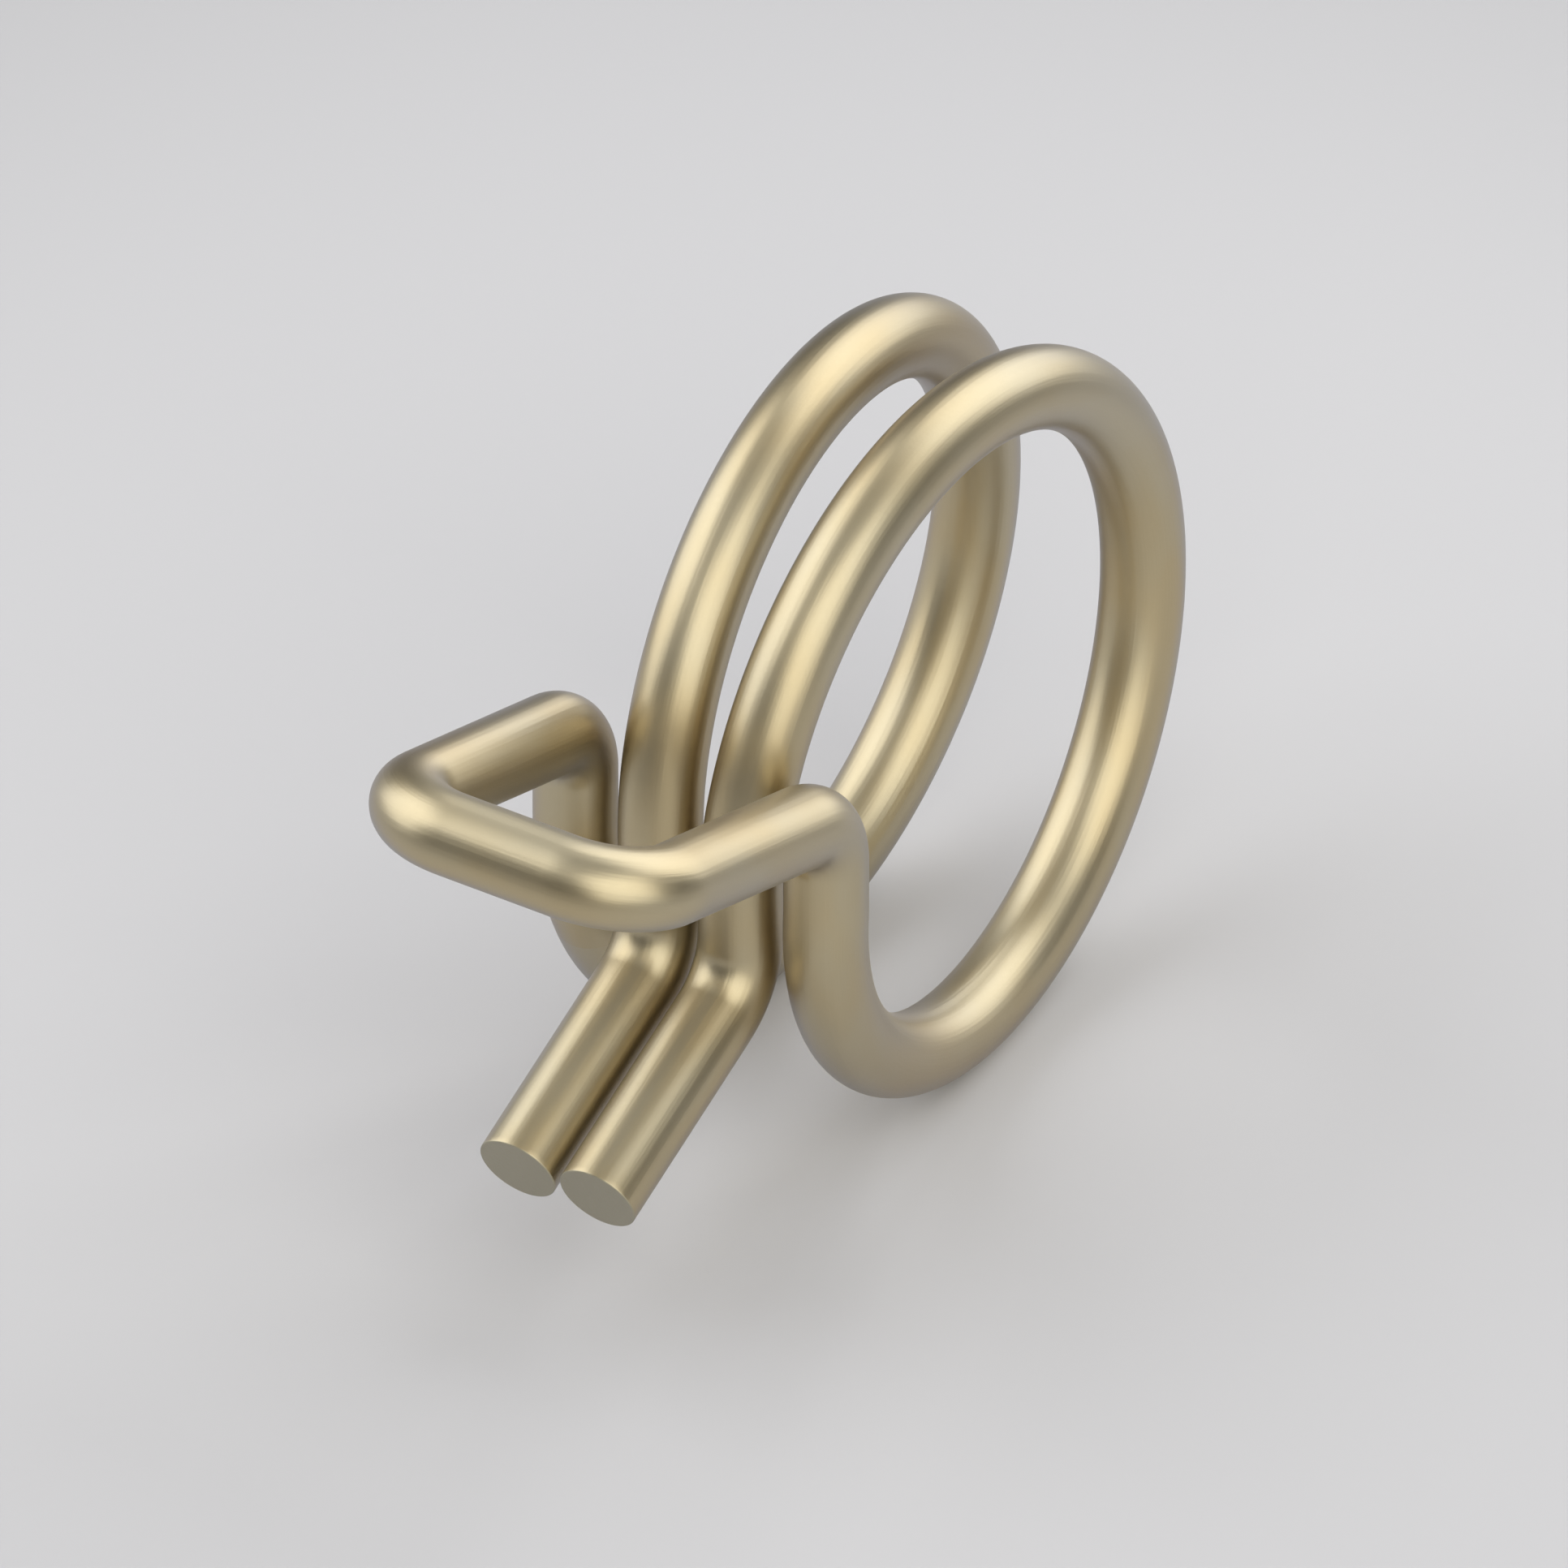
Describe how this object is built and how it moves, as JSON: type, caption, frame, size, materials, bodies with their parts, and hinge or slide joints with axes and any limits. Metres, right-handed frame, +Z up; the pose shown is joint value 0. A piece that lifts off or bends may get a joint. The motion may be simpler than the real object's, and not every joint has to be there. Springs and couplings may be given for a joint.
{
  "type": "spring hose clip",
  "caption": "Double-wire spring clip: one bent wire whose twin open coils hug a hose, with side-by-side tails and a U-shaped grip loop that are squeezed together to open it.",
  "frame": {"origin": "centre of the bore that the hose passes through, midway between the two coils", "axes": "+X along the hose, from the left coil to the right one; the grip loop and the tails point to -Y; +Z up, from the tails towards the grip loop"},
  "size_m": [0.0088, 0.0266, 0.018],
  "materials": {
    "plated_wire": "satin yellow zinc plate on drawn spring wire"
  },
  "bodies": {
    "grip_loop": {"grip_bar": "plated_wire", "right_grip_corner": "plated_wire", "right_arm": "plated_wire", "right_leg_bend": "plated_wire", "right_leg": "plated_wire", "right_coil_1": "plated_wire", "left_grip_corner": "plated_wire", "left_arm": "plated_wire", "left_leg_bend": "plated_wire", "left_leg": "plated_wire", "left_coil_1": "plated_wire"},
    "right_coil_stretch_2": {"right_coil_2": "plated_wire"},
    "right_coil_stretch_3": {"right_coil_3": "plated_wire"},
    "right_coil_stretch_4": {"right_coil_4": "plated_wire"},
    "right_coil_stretch_5": {"right_coil_5": "plated_wire"},
    "right_coil_stretch_6": {"right_coil_6": "plated_wire"},
    "right_coil_stretch_7": {"right_coil_7": "plated_wire"},
    "right_tail_side": {"right_coil_8": "plated_wire", "right_tail_drop": "plated_wire", "right_tail_bend": "plated_wire", "right_tail": "plated_wire"},
    "left_coil_stretch_2": {"left_coil_2": "plated_wire"},
    "left_coil_stretch_3": {"left_coil_3": "plated_wire"},
    "left_coil_stretch_4": {"left_coil_4": "plated_wire"},
    "left_coil_stretch_5": {"left_coil_5": "plated_wire"},
    "left_coil_stretch_6": {"left_coil_6": "plated_wire"},
    "left_coil_stretch_7": {"left_coil_7": "plated_wire"},
    "left_tail_side": {"left_coil_8": "plated_wire", "left_tail_drop": "plated_wire", "left_tail_bend": "plated_wire", "left_tail": "plated_wire"}
  },
  "joints": [
    {"name": "right_coil_flex_1", "type": "hinge", "parent": "grip_loop", "child": "right_coil_stretch_2", "pos_m": [0.00312, -0.00636, -0.00636], "axis": [-1, 0, 0], "range_deg": [0, 1.58], "stiffness_Nm_per_rad": 0.005},
    {"name": "right_coil_flex_2", "type": "hinge", "parent": "right_coil_stretch_2", "child": "right_coil_stretch_3", "pos_m": [0.00283, 0, -0.009], "axis": [-1, 0, 0], "range_deg": [0, 2.65], "stiffness_Nm_per_rad": 0.005},
    {"name": "right_coil_flex_3", "type": "hinge", "parent": "right_coil_stretch_3", "child": "right_coil_stretch_4", "pos_m": [0.00254, 0.00636, -0.00636], "axis": [-1, 0, 0], "range_deg": [0, 3.72], "stiffness_Nm_per_rad": 0.005},
    {"name": "right_coil_opens", "type": "hinge", "parent": "right_coil_stretch_4", "child": "right_coil_stretch_5", "pos_m": [0.00225, 0.009, 0], "axis": [-1, 0, 0], "range_deg": [0, 4.15], "stiffness_Nm_per_rad": 0.005},
    {"name": "right_coil_flex_5", "type": "hinge", "parent": "right_coil_stretch_5", "child": "right_coil_stretch_6", "pos_m": [0.00196, 0.00636, 0.00636], "axis": [-1, 0, 0], "range_deg": [0, 3.72], "stiffness_Nm_per_rad": 0.005},
    {"name": "right_coil_flex_6", "type": "hinge", "parent": "right_coil_stretch_6", "child": "right_coil_stretch_7", "pos_m": [0.00167, 0, 0.009], "axis": [-1, 0, 0], "range_deg": [0, 2.65], "stiffness_Nm_per_rad": 0.005},
    {"name": "right_coil_flex_7", "type": "hinge", "parent": "right_coil_stretch_7", "child": "right_tail_side", "pos_m": [0.00138, -0.00636, 0.00636], "axis": [-1, 0, 0], "range_deg": [0, 1.58], "stiffness_Nm_per_rad": 0.005},
    {"name": "left_coil_flex_1", "type": "hinge", "parent": "grip_loop", "child": "left_coil_stretch_2", "pos_m": [-0.00312, -0.00636, -0.00636], "axis": [-1, 0, 0], "range_deg": [0, 1.58], "stiffness_Nm_per_rad": 0.005},
    {"name": "left_coil_flex_2", "type": "hinge", "parent": "left_coil_stretch_2", "child": "left_coil_stretch_3", "pos_m": [-0.00283, 0, -0.009], "axis": [-1, 0, 0], "range_deg": [0, 2.65], "stiffness_Nm_per_rad": 0.005},
    {"name": "left_coil_flex_3", "type": "hinge", "parent": "left_coil_stretch_3", "child": "left_coil_stretch_4", "pos_m": [-0.00254, 0.00636, -0.00636], "axis": [-1, 0, 0], "range_deg": [0, 3.72], "stiffness_Nm_per_rad": 0.005},
    {"name": "left_coil_opens", "type": "hinge", "parent": "left_coil_stretch_4", "child": "left_coil_stretch_5", "pos_m": [-0.00225, 0.009, 0], "axis": [-1, 0, 0], "range_deg": [0, 4.15], "stiffness_Nm_per_rad": 0.005},
    {"name": "left_coil_flex_5", "type": "hinge", "parent": "left_coil_stretch_5", "child": "left_coil_stretch_6", "pos_m": [-0.00196, 0.00636, 0.00636], "axis": [-1, 0, 0], "range_deg": [0, 3.72], "stiffness_Nm_per_rad": 0.005},
    {"name": "left_coil_flex_6", "type": "hinge", "parent": "left_coil_stretch_6", "child": "left_coil_stretch_7", "pos_m": [-0.00167, 0, 0.009], "axis": [-1, 0, 0], "range_deg": [0, 2.65], "stiffness_Nm_per_rad": 0.005},
    {"name": "left_coil_flex_7", "type": "hinge", "parent": "left_coil_stretch_7", "child": "left_tail_side", "pos_m": [-0.00138, -0.00636, 0.00636], "axis": [-1, 0, 0], "range_deg": [0, 1.58], "stiffness_Nm_per_rad": 0.005}
  ],
  "couplings": [
    {"joint": "right_coil_flex_1", "follows": "right_coil_opens", "ratio": 0.37923},
    {"joint": "right_coil_flex_2", "follows": "right_coil_opens", "ratio": 0.63636},
    {"joint": "right_coil_flex_3", "follows": "right_coil_opens", "ratio": 0.89349},
    {"joint": "right_coil_flex_5", "follows": "right_coil_opens", "ratio": 0.89349},
    {"joint": "right_coil_flex_6", "follows": "right_coil_opens", "ratio": 0.63636},
    {"joint": "right_coil_flex_7", "follows": "right_coil_opens", "ratio": 0.37923},
    {"joint": "left_coil_flex_1", "follows": "left_coil_opens", "ratio": 0.37923},
    {"joint": "left_coil_flex_2", "follows": "left_coil_opens", "ratio": 0.63636},
    {"joint": "left_coil_flex_3", "follows": "left_coil_opens", "ratio": 0.89349},
    {"joint": "left_coil_flex_5", "follows": "left_coil_opens", "ratio": 0.89349},
    {"joint": "left_coil_flex_6", "follows": "left_coil_opens", "ratio": 0.63636},
    {"joint": "left_coil_flex_7", "follows": "left_coil_opens", "ratio": 0.37923}
  ]
}
